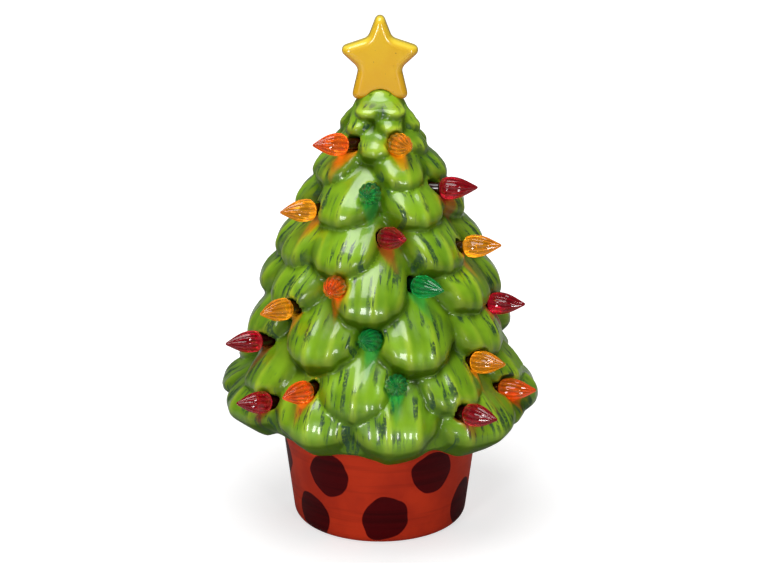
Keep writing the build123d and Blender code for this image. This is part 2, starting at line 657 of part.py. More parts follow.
# Screws: three close the case from below and two hold the board to its posts
def make_screws(spots, head_level, length):
    """Cylinder-head screws, heads down, one at each spot."""
    with BuildPart() as screws:
        with BuildSketch(Plane.XY.offset(head_level)):
            with Locations(*spots):
                Circle(SCREW_HEAD_RADIUS)
        extrude(amount=SCREW_HEAD_HEIGHT)
        with BuildSketch(Plane.XY.offset(head_level)):
            with Locations(*spots):
                Circle(SCREW_RADIUS)
        extrude(amount=SCREW_HEAD_HEIGHT + length)
    return screws


case_screw_length = DOOR_THICKNESS - SCREW_HEAD_HEIGHT + SCREW_LENGTH - SCREW_CLEARANCE
board_screw_length = BOARD_THICKNESS + BOARD_SCREW_LENGTH - SCREW_CLEARANCE
save(make_screws(boss_spots, lamp_bottom, case_screw_length), "case_screws")
save(make_screws(post_spots, board_bottom - SCREW_HEAD_HEIGHT, board_screw_length), "board_screws")
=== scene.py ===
"""Looks of a ceramic Christmas tree: a glazed casting with flame bulbs whose light is painted on it, a star
and a dotted pot.
"""

import json
import math

import bpy
import numpy as np
from mathutils import Matrix, Vector


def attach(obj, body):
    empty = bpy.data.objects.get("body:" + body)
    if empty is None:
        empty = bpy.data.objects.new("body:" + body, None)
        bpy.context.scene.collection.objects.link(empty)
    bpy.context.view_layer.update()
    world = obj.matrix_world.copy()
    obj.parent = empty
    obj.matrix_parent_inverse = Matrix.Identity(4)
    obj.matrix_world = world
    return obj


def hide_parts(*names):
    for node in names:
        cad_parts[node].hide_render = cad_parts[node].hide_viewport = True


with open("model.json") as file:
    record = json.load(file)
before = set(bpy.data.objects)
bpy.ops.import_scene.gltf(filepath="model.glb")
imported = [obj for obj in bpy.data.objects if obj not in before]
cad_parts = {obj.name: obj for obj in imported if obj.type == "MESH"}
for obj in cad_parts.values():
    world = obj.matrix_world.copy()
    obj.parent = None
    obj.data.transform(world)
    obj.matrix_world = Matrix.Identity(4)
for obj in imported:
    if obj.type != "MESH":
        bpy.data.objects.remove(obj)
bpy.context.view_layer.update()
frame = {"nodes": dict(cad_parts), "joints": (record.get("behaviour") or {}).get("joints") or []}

bl_info = {
    "name": "Ceramic Christmas tree",
    "version": (1, 0, 0),
    "blender": (4, 5, 0),
    "location": "View3D > Sidebar > Tree",
    "description": "Builds the looks of a ceramic Christmas tree around its CAD frame",
    "category": "Object",
}

MM = 0.001

# Sizes of the casting that its decoration follows, in millimetres: heights above the pot's rim
POT_HEIGHT = 46.0
CORE_FOOT_RADIUS = 59.0
CORE_WAIST_RADIUS = 40.0
CORE_WAIST_HEIGHT = 72.0
CORE_NECK_RADIUS = 8.0
CORE_NECK_HEIGHT = 143.0
CAVITY_WALL = 5.0
BOUGH_LENGTH_RATIO = 1.3
BOUGH_CROWN_RATIO = 2.0
BOUGH_DEPTH_RATIO = 0.9
BOUGH_TOP_SINK = 4.0
# Each row of boughs: height as a share of the neck's, how proud, half width, bearings on one side
BOUGH_ROWS = (
    (0.148, 9.0, 19.5, (-97, -62, 41)),
    (0.178, 8.8, 19.5, (-28, 6)),
    (0.248, 8.2, 15.5, (-60, -11, 33, 76)),
    (0.394, 8.0, 16.5, (-78, -31, 18, 58)),
    (0.524, 7.2, 15.5, (-95, -55, -6, 55)),
    (0.64, 7.4, 14.5, (-62, -26, 42, 88)),
    (0.763, 7.0, 13.5, (-34, 33, 82)),
    (0.849, 6.0, 10.5, (-62, 25, 80)),
    (0.915, 4.4, 7.6, (-60, -7, 62)),
    (0.964, 4.2, 5.6, (-46, 20, 75)),
    (1.003, 4.2, 4.4, (-21, 23)),
)
# Hem of the casting, in millimetres: radius where its shaping sets in, height up to which the sides lift it
HEM_START = 46.0
HEM_LIFT_TOP = 30.0
# Skirt of the hem: how far it may reach out of a valley, its top, its lean and the rounding of its edge
SKIRT_REACH = 12.0
SKIRT_TOP = 24.0
SKIRT_LEAN = 0.2
SKIRT_ROUNDING = 12.0
# Corners of the hem: bearing and reach; then the half angle, middle height and half height of each
HEM_CORNERS = ((60, 8.0), (-78, 4.0))
CORNER_SPREAD = 26.0
CORNER_HEIGHT = 4.0
CORNER_RISE = 18.0
# Heights between which the tip widens to carry the star's legs
SHOULDER_LOW = 137.0
SHOULDER_HIGH = 149.0
# Peg of a bulb from its foot up: height and radius in millimetres
PEG = ((0.0, 2.5), (0.3, 2.6))
# Flame of a bulb outside the hole: share of its length, radius in millimetres
BULB_LENGTH = 17.0
FLAME = (
    (0.0, 2.6),
    (0.05, 2.7),
    (0.085, 3.6),
    (0.13, 4.3),
    (0.18, 4.65),
    (0.25, 4.85),
    (0.33, 4.9),
    (0.42, 4.72),
    (0.52, 4.35),
    (0.62, 3.75),
    (0.71, 3.05),
    (0.79, 2.35),
    (0.86, 1.7),
    (0.92, 1.15),
    (0.965, 0.75),
    (0.99, 0.4),
)
# Dots of the pot: bearing, height and radius in millimetres on one side, repeated on the other
DOTS = (
    (-81, 32.0, 9.2),
    (-32, 32.0, 9.8),
    (33, 33.0, 9.8),
    (-48, 9.5, 10.6),
    (3, 12.5, 10.8),
    (66, 11.5, 10.8),
)
POT_RADIUS = 42.0
# Each bulb hole: the radius round its line that stays as drilled, the blend beyond it and how deep this goes
HOLE_RADIUS = 4.2
HOLE_BLEND = 1.5
HOLE_DEPTH = 30.0
# Light that a bulb throws on the glaze, painted into its colour, in millimetres: its start below the bulb,
# length, half width at the start, soft edge, depth and fading, and its share over the glaze's own colour
BEAM_START = 2.0
BEAM_LENGTH = 17.0
BEAM_HALF_WIDTH = 4.6
BEAM_EDGE = 1.6
BEAM_DEPTH = 11.0
BEAM_FADING = 15.0
BEAM_SHARE = 0.62
# Share of the faces that is kept where only the cavity shows them
CAVITY_FACES = 0.06
# Facets and smoothing rounds of the star
STAR_GRAIN = 0.45
STAR_ROUNDS = 10
# Stage: the floor's width and the height that the lights aim at, in metres
FLOOR_WIDTH = 6.0
LIGHT_AIM = 0.12
# Camera's lens and sensor in millimetres
CAMERA_LENS = 96.8
CAMERA_SENSOR = 36.0
# Lights: name, place and size in metres, power in watts
LIGHTS = (
    ("window_left", (-0.42, -0.95, 0.34), (0.16, 0.34), 3.2),
    ("window_right", (0.4, -0.95, 0.28), (0.1, 0.3), 1.8),
    ("top", (-0.1, -0.35, 1.1), (0.7, 0.7), 8.2),
    ("back", (0.35, 0.95, 0.6), (0.9, 0.9), 3.0),
)
# Lamp unit: slot, material, two colours of its grain, roughness, metallic share and pieces
LAMP_FINISHES = (
    # Soft black rubber with a dusty bloom
    ("gasket_rubber", "Black gasket rubber, matt", "#1c1b1a", "#2a2927", 0.75, 0, ("lamp_gasket",)),
    # White moulded plastic with a fine spark texture
    (
        "lamp_plastic",
        "White lamp plastic, satin",
        "#e4e2da",
        "#d6d3c8",
        0.45,
        0,
        ("lamp_housing", "lamp_plate", "battery_door"),
    ),
    # Dark plastic of the switch
    (
        "switch_plastic",
        "Black switch plastic, satin",
        "#161618",
        "#222226",
        0.4,
        0,
        ("switch_body", "switch_knob"),
    ),
    # Milky plastic that spreads the light
    ("diffuser_plastic", "Milky diffuser plastic", "#f4f1e6", "#e8e4d6", 0.35, 0, ("diffuser",)),
    # Warm clear epoxy of the LED
    ("led_epoxy", "Warm LED epoxy, clear", "#fff2c8", "#f2e2b0", 0.1, 0, ("led",)),
    # Green board with woven glass under its varnish
    ("board_laminate", "Green board laminate", "#1f5a34", "#2b6a3e", 0.35, 0, ("circuit_board",)),
    # Bright stamped steel
    ("cell_steel", "Coin cell steel, brushed", "#c8c8c4", "#aeaeaa", 0.28, 1, ("coin_cell",)),
    # Nickel-plated spring strip
    (
        "contact_metal",
        "Nickel contact strip",
        "#cfc9b8",
        "#b8b2a2",
        0.25,
        1,
        ("contact_negative", "contact_positive"),
    ),
    # Zinc-plated screws
    ("screw_steel", "Zinc screw steel", "#b4b6ba", "#94969a", 0.32, 1, ("case_screws", "board_screws")),
)
# Settings of a map range that eases in and out, and of a property that holds a colour
EASE = {"interpolation_type": "SMOOTHSTEP"}
COLOUR = {"size": 4, "subtype": "COLOR"}


def linear(code):
    """Linear RGBA of an sRGB hex colour."""
    channels = [int(code[i : i + 2], 16) / 255 for i in (1, 3, 5)]
    return (*[c / 12.92 if c <= 0.04045 else ((c + 0.055) / 1.055) ** 2.4 for c in channels], 1.0)


def tinted(colour, share):
    """A colour darkened to a share of its light."""
    return (*[share * c for c in colour[:3]], 1.0)


def features(size):
    """Texture scale whose features measure a size in millimetres."""
    return 1 / (size * MM)


def add_node(tree, kind, *values, output=0, **settings):
    """Adds a shader node with its options, links or fills its inputs, given in order or in a dict, and
    returns one of its outputs."""
    node = tree.nodes.new("ShaderNode" + kind)
    for name, value in settings.items():
        setattr(node, name, value)
    inputs = values[0] if values and isinstance(values[0], dict) else dict(enumerate(values))
    for key, value in inputs.items():
        if isinstance(value, bpy.types.NodeSocket):
            tree.links.new(value, node.inputs[key])
        else:
            node.inputs[key].default_value = value
    return node.outputs[output]


def painted(tree, colour, *layers):
    """A colour with layers painted over it in order, each given by its share and its colour."""
    for share, paint in layers:
        colour = add_node(tree, "Mix", {0: share, 6: colour, 7: paint}, output=2, data_type="RGBA")
    return colour


def new_material(name, **values):
    """A material with one Principled surface, its inputs set by name; returns it, its tree and surface."""
    material = bpy.data.materials.new(name)
    material.use_nodes = True
    tree = material.node_tree
    surface = tree.nodes["Principled BSDF"]
    for key, value in values.items():
        surface.inputs[key.replace("_", " ")].default_value = value
    return material, tree, surface


def select_only(piece):
    """Makes one piece the only selected and active object."""
    bpy.ops.object.select_all(action="DESELECT")
    piece.select_set(True)
    bpy.context.view_layer.objects.active = piece


def apply_modifier(piece, kind, **settings):
    """Adds a modifier with these settings and applies it."""
    modifier = piece.modifiers.new(kind.lower(), kind)
    for name, value in settings.items():
        setattr(modifier, name, value)
    select_only(piece)
    bpy.ops.object.modifier_apply(modifier=modifier.name)


def node_copy(node, name):
    """A free copy of a CAD node, its loose corners merged."""
    piece = frame["nodes"][node].copy()
    piece.data = piece.data.copy()
    piece.name = name
    piece.data.name = name
    piece.parent = None
    for key in list(piece.keys()):
        del piece[key]
    piece.data.materials.clear()
    bpy.context.scene.collection.objects.link(piece)
    select_only(piece)
    bpy.ops.object.mode_set(mode="EDIT")
    bpy.ops.mesh.select_all(action="SELECT")
    bpy.ops.mesh.remove_doubles(threshold=2e-6)
    bpy.ops.mesh.customdata_custom_splitnormals_clear()
    bpy.ops.object.mode_set(mode="OBJECT")
    return piece


def finish_piece(piece, body, material, slot, *nodes):
    """Gives a piece its finish and body, and hides the CAD nodes that it stands for."""
    piece.data.materials.clear()
    piece.data.materials.append(material)
    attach(piece, body)
    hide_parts(*nodes)


def vertex_array(mesh, field="co"):
    """Places or normals of a mesh's vertices."""
    source = mesh.vertices if field == "co" else mesh.vertex_normals
    flat = np.zeros(len(mesh.vertices) * 3)
    source.foreach_get("co" if field == "co" else "vector", flat)
    return flat.reshape(-1, 3)


def set_attribute(mesh, name, kind, values):
    """Stores one value for each vertex."""
    attribute = mesh.attributes.new(name, kind, "POINT")
    field = {"FLOAT": "value", "FLOAT_VECTOR": "vector", "FLOAT_COLOR": "color"}[kind]
    attribute.data.foreach_set(field, np.ascontiguousarray(values, np.float32).ravel())


def core_radius(height):
    """Radius of the casting's plain core at a height above the pot's rim, in millimetres."""
    low = CORE_FOOT_RADIUS + height / CORE_WAIST_HEIGHT * (CORE_WAIST_RADIUS - CORE_FOOT_RADIUS)
    share = (height - CORE_WAIST_HEIGHT) / (CORE_NECK_HEIGHT - CORE_WAIST_HEIGHT)
    high = CORE_WAIST_RADIUS + share * (CORE_NECK_RADIUS - CORE_WAIST_RADIUS)
    return np.where(height < CORE_WAIST_HEIGHT, low, high)


def boughs():
    """Every bough: the middle of its lower end, its side, upward and inward directions, half width."""
    for share, proud, half_width, bearings in BOUGH_ROWS:
        tip_height = share * CORE_NECK_HEIGHT
        top_height = tip_height + BOUGH_LENGTH_RATIO * half_width
        tip_reach = float(core_radius(tip_height)) + proud
        top_reach = float(core_radius(top_height)) - BOUGH_TOP_SINK
        for bearing in [b + turn for b in bearings for turn in (0, 180)]:
            angle = math.radians(bearing)
            out = np.array((math.sin(angle), -math.cos(angle), 0))
            side = np.array((math.cos(angle), math.sin(angle), 0))
            tip = out * tip_reach + (0, 0, POT_HEIGHT + tip_height)
            top = out * top_reach + (0, 0, POT_HEIGHT + top_height)
            up = (top - tip) / np.linalg.norm(top - tip)
            yield tip, side, up, np.cross(up, side), half_width


def sag(reach, half_width):
    """How far a bough's crowned face falls below its middle at a distance from it."""
    crown = BOUGH_CROWN_RATIO * half_width
    return crown - np.sqrt(crown**2 - np.minimum(reach, half_width) ** 2)


def bough_places(places):
    """For each place in millimetres, on the bough it belongs to: across, along, below the face, half width,
    number, distance outside it and outward direction."""
    best = np.full(len(places), 1e9)
    found = np.ones((len(places), 5))
    outward = np.zeros((len(places), 3))
    for number, (tip, side, up, inward, half_width) in enumerate(boughs()):
        offset = places - tip
        across, along, depth = offset @ side, offset @ up, offset @ inward
        reach = np.hypot(across, np.minimum(along, 0))
        below = depth - sag(reach, half_width)
        outside = np.maximum.reduce([-below, reach - half_width, below - BOUGH_DEPTH_RATIO * half_width])
        nearer = (outside < best) & (along < 2.3 * half_width)
        best[nearer] = outside[nearer]
        same = np.ones_like(across)
        found[nearer] = np.stack([across, along, below, half_width * same, number * same], 1)[nearer]
        outward[nearer] = -inward
    return *found.T, best, outward


def bulb_seats():
    """Each bulb's joint: its node and body, the middle of its hole's mouth, direction and colour."""
    seats = []
    for joint in frame["joints"]:
        if not joint["name"].startswith("pull_bulb"):
            continue
        body = joint["child"]
        node = next(name for name in frame["nodes"] if name.startswith(body + "_"))
        axis = np.array(joint["axis"], float)
        axis /= np.linalg.norm(axis)
        places = vertex_array(frame["nodes"][node].data)
        reach = places @ axis
        tip = places[reach > reach.max() - 1e-5].mean(0)
        tip += (reach.max() - tip @ axis) * axis
        seats.append((node, body, tip - BULB_LENGTH * MM * axis, axis, node.rsplit("_", 1)[1]))
    return seats


def neighbour_means(mesh, values, rounds):
    """Values averaged with those of the neighbours, a number of times."""
    edges = np.zeros(len(mesh.edges) * 2, np.int64)
    mesh.edges.foreach_get("vertices", edges)
    ends = edges.reshape(-1, 2)
    count = np.bincount(edges, minlength=len(mesh.vertices))[:, None].clip(1)
    for _ in range(rounds):
        total = np.zeros_like(values)
        for axis in range(values.shape[1]):
            total[:, axis] = np.bincount(ends[:, 0], values[ends[:, 1], axis], len(values))
            total[:, axis] += np.bincount(ends[:, 1], values[ends[:, 0], axis], len(values))
        values = 0.5 * values + 0.5 * total / count
    return values


def bulb_marks(places, colours):
    """How freely each place may be shaped near the bulbs' holes, and the bulbs' light painted on it."""
    free = np.ones(len(places))
    light = np.zeros((len(places), 4))
    for _, _, mouth, axis, colour in bulb_seats():
        offset = places - mouth
        away = np.linalg.norm(offset - np.outer(offset @ axis, axis), axis=1) / MM
        free *= np.clip((away - HOLE_RADIUS) / HOLE_BLEND, 0, 1) ** (np.abs(offset @ axis) < HOLE_DEPTH * MM)
        out = np.array((axis[0], axis[1], 0)) / np.hypot(axis[0], axis[1])
        drop = -offset[:, 2] / MM - BEAM_START
        aside = np.abs(offset @ np.cross(out, (0, 0, 1))) / MM
        near = (np.abs(offset @ out) / MM < BEAM_DEPTH) & (drop > 0) & (drop < BEAM_LENGTH)
        beam = near * np.clip((BEAM_HALF_WIDTH * (1 - drop / BEAM_LENGTH) - aside) / BEAM_EDGE, 0, 1)
        beam = beam * np.clip(1.2 - drop / BEAM_FADING, 0, 1)
        stronger = beam > light[:, 3]
        light[stronger, :3] = getattr(colours, f"{colour}_bulb")[:3]
        light[stronger, 3] = beam[stronger]
    light[:, 3] *= BEAM_SHARE
    return free, light


def drape(places, normals, spots, loose, sizes):
    """Folds the boughs' faces and swells their lower ends like noses."""
    across, along, below, half_width, number, outside, outward = spots
    skin = (outside < 1.2) * loose
    aside = across / half_width
    up = along / half_width
    # Two waves run across each bough, the wider one different from bough to bough
    waves = 2.3 + number * 7 % 3 / 2
    fold = 0.6 * np.cos(math.pi * waves * aside + number)
    fold += 0.4 * np.cos(5.7 * math.pi * aside + 2 * number)
    fold *= half_width / 20 * np.clip(0.9 - up, 0, 1) * skin
    nose = sizes.nose_share * half_width * np.clip(1 - aside**2, 0, 1) ** 2 * skin
    nose *= np.clip((1.2 - up) / 1.5, 0, 1) ** 2 * np.clip((up + 1.0) / 0.4, 0, 1)
    nose *= np.clip(1.2 - 2 * below / half_width, 0, 1)
    return places + normals * (sizes.flute_depth * fold)[:, None] + outward * (nose * MM)[:, None]


def shape_hem(places, height, radius, free, loose, sizes):
    """Lifts the hem towards the sides, joins the low boughs by a skirt with a rounded edge and draws out two
    corners."""
    sideways = places[:, 0] ** 2 / (places[:, 0] ** 2 + places[:, 1] ** 2)
    brim = np.clip(1 - height / HEM_LIFT_TOP, 0, 1) * np.clip((radius - HEM_START) / 14, 0, 1)
    places[:, 2] += sizes.hem_lift * sideways * brim * free
    outer = loose * np.clip((radius - HEM_START) / 10, 0, 1)
    edge = sizes.hem_radius / MM - SKIRT_LEAN * height
    edge -= SKIRT_ROUNDING * np.clip(1 - (height + 1) / 8, 0, 1) ** 2
    skirt = np.clip(edge - radius, 0, SKIRT_REACH) * np.clip((SKIRT_TOP - height) / 12, 0, 1) * outer
    places[:, :2] *= 1 + (skirt / radius.clip(1))[:, None]
    bearing = np.degrees(np.arctan2(places[:, 0], -places[:, 1]))
    for middle, reach in HEM_CORNERS:
        turn = np.clip(1 - np.abs(bearing - middle) / CORNER_SPREAD, 0, 1)
        corner = reach * turn**2 * (3 - 2 * turn) * outer
        corner *= np.clip(1 - np.abs(height - CORNER_HEIGHT) / CORNER_RISE, 0, 1)
        places[:, :2] *= 1 + (corner / radius.clip(1))[:, None]


def soften(piece, name, share, rounds):
    """Smooths a piece by a share for each vertex."""
    group = piece.vertex_groups.new(name=name)
    levels = np.round(share * 8).astype(int)
    for level in range(1, 9):
        group.add(np.flatnonzero(levels == level).tolist(), level / 8, "REPLACE")
    apply_modifier(piece, "SMOOTH", factor=0.5, iterations=rounds, vertex_group=name)


def thin_cavity(piece, inner):
    """Thins the faces that only the cavity shows."""
    mesh = piece.data
    corners = np.zeros(len(mesh.loops), np.int64)
    mesh.loops.foreach_get("vertex_index", corners)
    starts = np.zeros(len(mesh.polygons), np.int64)
    mesh.polygons.foreach_get("loop_start", starts)
    mesh.polygons.foreach_set("select", np.logical_and.reduceat(inner[corners], starts))
    select_only(piece)
    bpy.ops.object.mode_set(mode="EDIT")
    bpy.ops.mesh.select_mode(type="FACE")
    bpy.ops.mesh.decimate(ratio=CAVITY_FACES)
    bpy.ops.object.mode_set(mode="OBJECT")


class TreeSizes(bpy.types.PropertyGroup):
    """Sizes of the glazed casting's surface."""

    grain: bpy.props.FloatProperty(
        name="Grain", description="Size of the surface's facets", default=1.0 * MM, unit="LENGTH"
    )
    flute_depth: bpy.props.FloatProperty(
        name="Flute depth", description="Depth of the folds on a wide bough", default=0.8 * MM, unit="LENGTH"
    )
    nose_share: bpy.props.FloatProperty(
        name="Nose share",
        description="Swelling of a bough's end by its half width",
        default=0.07,
        subtype="FACTOR",
    )
    hem_lift: bpy.props.FloatProperty(
        name="Hem lift", description="Rise of the hem towards the sides", default=11 * MM, unit="LENGTH"
    )
    hem_radius: bpy.props.FloatProperty(
        name="Hem radius",
        description="Radius of the skirt between the low boughs",
        default=64 * MM,
        unit="LENGTH",
    )
    shoulder: bpy.props.FloatProperty(
        name="Shoulder", description="Widening of the tip under the star", default=0.4, subtype="FACTOR"
    )
    glaze_rounds: bpy.props.IntProperty(
        name="Glaze rounds", description="How far the glaze softens the creases", default=13, min=0, max=40
    )


class BulbSizes(bpy.types.PropertyGroup):
    """Sizes of the flame bulbs."""

    length: bpy.props.FloatProperty(
        name="Length", description="Length outside the hole", default=BULB_LENGTH * MM, unit="LENGTH"
    )
    peg: bpy.props.FloatProperty(
        name="Peg", description="Length inside the hole", default=8 * MM, unit="LENGTH"
    )
    flutes: bpy.props.IntProperty(name="Flutes", description="Ridges round the flame", default=12, min=3)
    flute_depth: bpy.props.FloatProperty(
        name="Flute depth", description="Depth between the ridges", default=0.45 * MM, unit="LENGTH"
    )
    twist: bpy.props.FloatProperty(
        name="Twist",
        description="Turn of the ridges along the flame",
        default=math.radians(22),
        subtype="ANGLE",
    )


class FinishColours(bpy.types.PropertyGroup):
    """Colours of the glazes and the bulbs."""

    green: bpy.props.FloatVectorProperty(
        name="Green", description="Body of the tree's glaze", default=linear("#8aba18"), **COLOUR
    )
    # The olive also colours the painted shade in the valleys, under the boughs and on their lips
    olive: bpy.props.FloatVectorProperty(
        name="Olive", description="Glaze that pools in the valleys", default=linear("#2c4602"), **COLOUR
    )
    strokes: bpy.props.FloatVectorProperty(
        name="Strokes", description="Dry-brushed strokes", default=linear("#22442a"), **COLOUR
    )
    star: bpy.props.FloatVectorProperty(
        name="Star", description="Body of the star's glaze", default=linear("#eec024"), **COLOUR
    )
    pot: bpy.props.FloatVectorProperty(
        name="Pot", description="Body of the pot's glaze", default=linear("#cc381b"), **COLOUR
    )
    dots: bpy.props.FloatVectorProperty(
        name="Dots", description="Painted dots of the pot", default=linear("#4c0004"), **COLOUR
    )
    red_bulb: bpy.props.FloatVectorProperty(
        name="Red bulbs", description="Red plastic", default=linear("#b00020"), **COLOUR
    )
    orange_bulb: bpy.props.FloatVectorProperty(
        name="Orange bulbs", description="Orange plastic", default=linear("#ff7010"), **COLOUR
    )
    amber_bulb: bpy.props.FloatVectorProperty(
        name="Amber bulbs", description="Amber plastic", default=linear("#fca614"), **COLOUR
    )
    green_bulb: bpy.props.FloatVectorProperty(
        name="Green bulbs", description="Green plastic", default=linear("#00a450"), **COLOUR
    )


class StageSizes(bpy.types.PropertyGroup):
    """Where the camera stands and looks."""

    camera_height: bpy.props.FloatProperty(
        name="Aim height", description="Height that the camera looks at", default=109.12 * MM, unit="LENGTH"
    )
    camera_distance: bpy.props.FloatProperty(
        name="Distance", description="Distance of the camera", default=0.9, unit="LENGTH"
    )
    camera_rise: bpy.props.FloatProperty(
        name="Rise", description="Camera's angle above the level", default=math.radians(17), subtype="ANGLE"
    )


def green_glaze(colours):
    """Lime glaze, paler on the ridges where it thins with a painted highlight, olive where it pools with
    painted shade and in painted shade under the boughs, dry-brushed with dark green, with the bulbs' light
    painted below them.
    """
    # Wet gloss: a clear coat over a smooth body gives sharp window reflections
    material, tree, surface = new_material(
        "Green ceramic glaze, gloss", Roughness=0.3, Coat_Roughness=0.04, Coat_IOR=1.45
    )
    place = add_node(tree, "TexCoord", output="Object")
    normal = add_node(tree, "TexCoord", output="Normal")
    facing = add_node(tree, "SeparateXYZ", normal, output="Z")
    brush = add_node(tree, "Attribute", output="Vector", attribute_name="bough")
    pooled, valley, along, rim = [
        add_node(tree, "Attribute", output="Fac", attribute_name=name)
        for name in ("pooled", "valley", "along", "rim")
    ]
    # Cloudy body colour, a few centimetres across
    cloud = add_node(tree, "TexNoise", {"Vector": place, "Scale": features(22.222), "Detail": 3.0})
    cloud = add_node(tree, "MapRange", cloud, 0.35, 0.65, **EASE)
    # Thin over the ridges, paler there with a painted highlight; pooled in the creases under the boughs,
    # olive there with painted shade
    thin_glaze_and_highlight = add_node(tree, "MapRange", pooled, -0.05, -0.5, **EASE)
    pool_and_shade = add_node(tree, "MapRange", pooled, 0.08, 0.75, **EASE)
    # Shade in the valleys, under the boughs and on their lips
    shade = add_node(tree, "MapRange", valley, 0.1, 1.5, **EASE)
    underside_shade = add_node(tree, "MapRange", facing, 0.1, -0.5, **EASE)
    lip_shade = add_node(tree, "MapRange", rim, 0.66, 1.0, 0.0, 0.7, **EASE)
    for other in (underside_shade, lip_shade):
        shade = add_node(tree, "Math", shade, other, operation="MAXIMUM")
    shaded = add_node(tree, "Math", shade, 0.85, operation="MULTIPLY")
    # The shaded places stay dull, so no grey sheen outlines the boughs
    coat = add_node(tree, "Math", shade, -0.72, 0.8, operation="MULTIPLY_ADD")
    sheen = add_node(tree, "Math", shade, -0.45, 0.5, operation="MULTIPLY_ADD")
    # Fine dark bristle strokes, two millimetres wide, that run down the lower half of each bough in patches
    bristle = add_node(tree, "VectorMath", brush, (0.42, 0.045, 5.0), operation="MULTIPLY")
    bristle = add_node(tree, "TexNoise", {"Vector": bristle, "Scale": 1.0, "Detail": 3.0, "Roughness": 0.6})
    patch = add_node(tree, "VectorMath", brush, (0.09, 0.05, 9.0), operation="MULTIPLY")
    patch = add_node(tree, "TexNoise", {"Vector": patch, "Scale": 1.0, "Detail": 2.0})
    dry = add_node(tree, "TexNoise", {"Vector": place, "Scale": features(1.1111), "Detail": 2.0})
    stroke = 0.92
    for value, low, high in (
        (bristle, 0.51, 0.57),
        (patch, 0.44, 0.56),
        (dry, 0.2, 0.52),
        (along, 1.1, 0.15),
        (along, -1.0, -0.55),
    ):
        share = add_node(tree, "MapRange", value, low, high, **EASE)
        stroke = add_node(tree, "Math", stroke, share, operation="MULTIPLY")
    # Painted light: the colour that a bulb's light throws on the glaze below it
    light = add_node(tree, "Attribute", output="Color", attribute_name="light")
    painted_light_share = add_node(tree, "Attribute", output="Alpha", attribute_name="light")
    colour = painted(
        tree,
        linear("#6c9a0e"),
        (cloud, colours.green),
        (thin_glaze_and_highlight, linear("#b4d436")),
        (pool_and_shade, colours.olive),
        (shaded, colours.olive),
        (stroke, colours.strokes),
        (painted_light_share, light),
    )
    # Slow waves of a hand-dipped glaze
    wave = add_node(tree, "TexNoise", {"Vector": place, "Scale": features(6.25), "Detail": 1.0})
    wave = add_node(tree, "Bump", {"Height": wave, "Strength": 0.12, "Distance": 0.6 * MM})
    for socket, value in (
        ("Base Color", colour),
        ("Coat Weight", coat),
        ("Specular IOR Level", sheen),
        ("Normal", wave),
    ):
        tree.links.new(value, surface.inputs[socket])
    return material


def yellow_glaze(colours):
    """Golden glaze with a painted highlight on the star's upper edges, painted shade in orange on its lower
    edges, and a few specks.
    """
    # A clear coat over a smooth body gives soft highlights along the rounded edges
    material, tree, surface = new_material(
        "Yellow ceramic glaze, gloss", Roughness=0.25, Coat_Weight=0.7, Coat_Roughness=0.06
    )
    place = add_node(tree, "TexCoord", output="Object")
    normal = add_node(tree, "TexCoord", output="Normal")
    height = add_node(tree, "SeparateXYZ", place, output="Z")
    facing = add_node(tree, "SeparateXYZ", normal, output="Z")
    cloud = add_node(tree, "TexNoise", {"Vector": place, "Scale": features(8.3333), "Detail": 3.0})
    speck = add_node(tree, "TexNoise", {"Vector": place, "Scale": features(1.1111), "Detail": 0.0})
    # Deeper gold on the star's lower part and lighter above; a painted highlight on the faces turned up and
    # painted shade, in orange, on those turned down; cloudy tone and specks
    colour = painted(
        tree,
        linear("#e6ac16"),
        (add_node(tree, "MapRange", height, 0.19, 0.222, **EASE), colours.star),
        (add_node(tree, "MapRange", facing, 0.1, 0.75, **EASE), linear("#ffe040")),
        (add_node(tree, "MapRange", facing, -0.1, -0.8, **EASE), linear("#e08a10")),
        (add_node(tree, "MapRange", cloud, 0.45, 0.7, 0.0, 0.3, **EASE), linear("#e4a41a")),
        (add_node(tree, "MapRange", speck, 0.82, 0.86, 0.0, 0.7, **EASE), linear("#8a5a12")),
    )
    tree.links.new(colour, surface.inputs["Base Color"])
    return material


